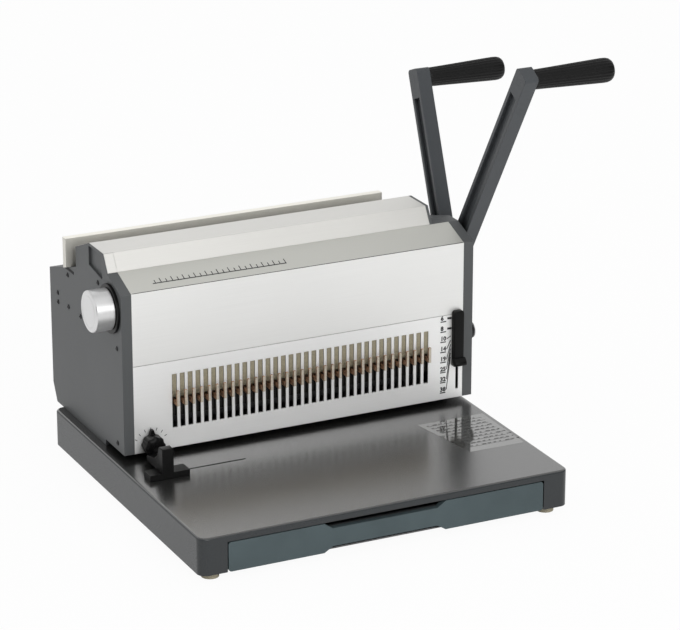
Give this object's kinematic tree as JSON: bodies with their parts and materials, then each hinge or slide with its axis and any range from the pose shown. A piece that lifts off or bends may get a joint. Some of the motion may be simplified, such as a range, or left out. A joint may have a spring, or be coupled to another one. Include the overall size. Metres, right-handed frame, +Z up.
{
  "type": "comb binding machine",
  "caption": "Manual comb binding machine: punch and comb-opener levers, slotted front with hooks, chip drawer, edge guide, margin knob and size slider.",
  "frame": {"origin": "on the bench, below the middle of the base's rectangle", "axes": "+X along the handles' shafts, towards the handles' side; +Y to the back of the machine; +Z up"},
  "size_m": [0.5195, 0.402, 0.4195],
  "materials": {
    "grey_paint": "satin dark grey powder coat",
    "base_paint": "glossy dark grey metallic coat",
    "silver_sheet": "fine brushed, clear anodised",
    "plain_steel": "ground steel",
    "bronze_steel": "bronze-coloured plated steel",
    "turned_alloy": "turned, satin",
    "black_plastic": "moulded black, fine texture",
    "fascia_plastic": "blue-grey moulded",
    "tray_plastic": "moulded dark grey",
    "grip_rubber": "ribbed black",
    "foot_rubber": "beige soft rubber"
  },
  "bodies": {
    "frame": {"base_pan": "base_paint", "base_floor_plate": "plain_steel", "foot_pads": "foot_rubber", "drawer_runners": "plain_steel", "left_cheek": "grey_paint", "right_cheek": "grey_paint", "upper_front_panel": "silver_sheet", "slotted_front_panel": "silver_sheet", "top_hood": "silver_sheet", "hood_end_cap": "grey_paint", "rear_cover": "grey_paint", "rear_bar": "silver_sheet", "tie_rods": "plain_steel", "comb_fingers": "bronze_steel", "guide_posts": "plain_steel", "die_plate": "plain_steel", "stripper_plate": "plain_steel", "margin_collar": "black_plastic"},
    "drawer": {"drawer_tray": "tray_plastic", "drawer_fascia": "fascia_plastic"},
    "hook_carriage": {"comb_hooks": "bronze_steel", "lift_plates": "plain_steel"},
    "opener_handle": {"opener_shaft": "plain_steel", "opener_cranks": "plain_steel", "rear_arm": "grey_paint", "opener_spindle": "plain_steel", "opener_grip": "grip_rubber"},
    "punch_ram": {"punch_pins": "plain_steel", "punch_bars": "plain_steel", "pin_cap": "plain_steel", "punch_yokes": "plain_steel"},
    "punch_handle": {"punch_shaft": "plain_steel", "punch_eccentrics": "plain_steel", "front_arm": "grey_paint", "punch_spindle": "plain_steel", "punch_grip": "grip_rubber"},
    "margin_dial": {"margin_knob": "turned_alloy", "margin_cam": "plain_steel"},
    "margin_stop": {"margin_plate": "plain_steel", "margin_stop_bar": "plain_steel"},
    "align_knob": {"align_dial": "black_plastic", "dial_shaft": "plain_steel"},
    "limit_slider": {"size_slider": "black_plastic", "slider_knob": "black_plastic", "slider_nut": "plain_steel"},
    "edge_guide": {"guide_foot": "black_plastic", "guide_fence": "black_plastic", "guide_clamp": "plain_steel"}
  },
  "joints": [
    {"name": "drawer_slide", "type": "slide", "parent": "frame", "child": "drawer", "axis": [0, -1, 0], "range_m": [0, 0.18]},
    {"name": "opener_turn", "type": "hinge", "parent": "frame", "child": "opener_handle", "pos_m": [0.2115, 0.102, 0.19], "axis": [1, 0, 0], "range_deg": [0, 50]},
    {"name": "hook_slide", "type": "slide", "parent": "frame", "child": "hook_carriage", "axis": [0, 0, -1], "range_m": [0, 0.0245]},
    {"name": "punch_turn", "type": "hinge", "parent": "frame", "child": "punch_handle", "pos_m": [0.2115, 0.066, 0.105], "axis": [1, 0, 0], "range_deg": [0, 65], "stiffness_Nm_per_rad": 1.2, "springref_deg": -34.38},
    {"name": "ram_slide", "type": "slide", "parent": "frame", "child": "punch_ram", "axis": [0, 0, -1], "range_m": [0, 0.0085]},
    {"name": "margin_turn", "type": "hinge", "parent": "frame", "child": "margin_dial", "pos_m": [-0.2005, 0.048, 0.198], "axis": [1, 0, 0], "range_deg": [0, 180]},
    {"name": "stop_slide", "type": "slide", "parent": "frame", "child": "margin_stop", "axis": [0, -1, 0], "range_m": [0, 0.004]},
    {"name": "dial_turn", "type": "hinge", "parent": "frame", "child": "align_knob", "pos_m": [-0.15905, 0.0143, 0.0575], "axis": [0, 1, 0], "range_deg": [-60, 60]},
    {"name": "limit_slide", "type": "slide", "parent": "frame", "child": "limit_slider", "axis": [0, 0, -1], "range_m": [0, 0.0285]},
    {"name": "guide_slide", "type": "slide", "parent": "frame", "child": "edge_guide", "axis": [1, 0, 0], "range_m": [0, 0.075]}
  ],
  "couplings": [
    {"joint": "hook_slide", "follows": "opener_turn", "m_per_rad": 0.028075},
    {"joint": "ram_slide", "follows": "punch_turn", "m_per_rad": 0.0074925},
    {"joint": "margin_turn", "follows": "stop_slide", "rad_per_m": 785.4}
  ]
}
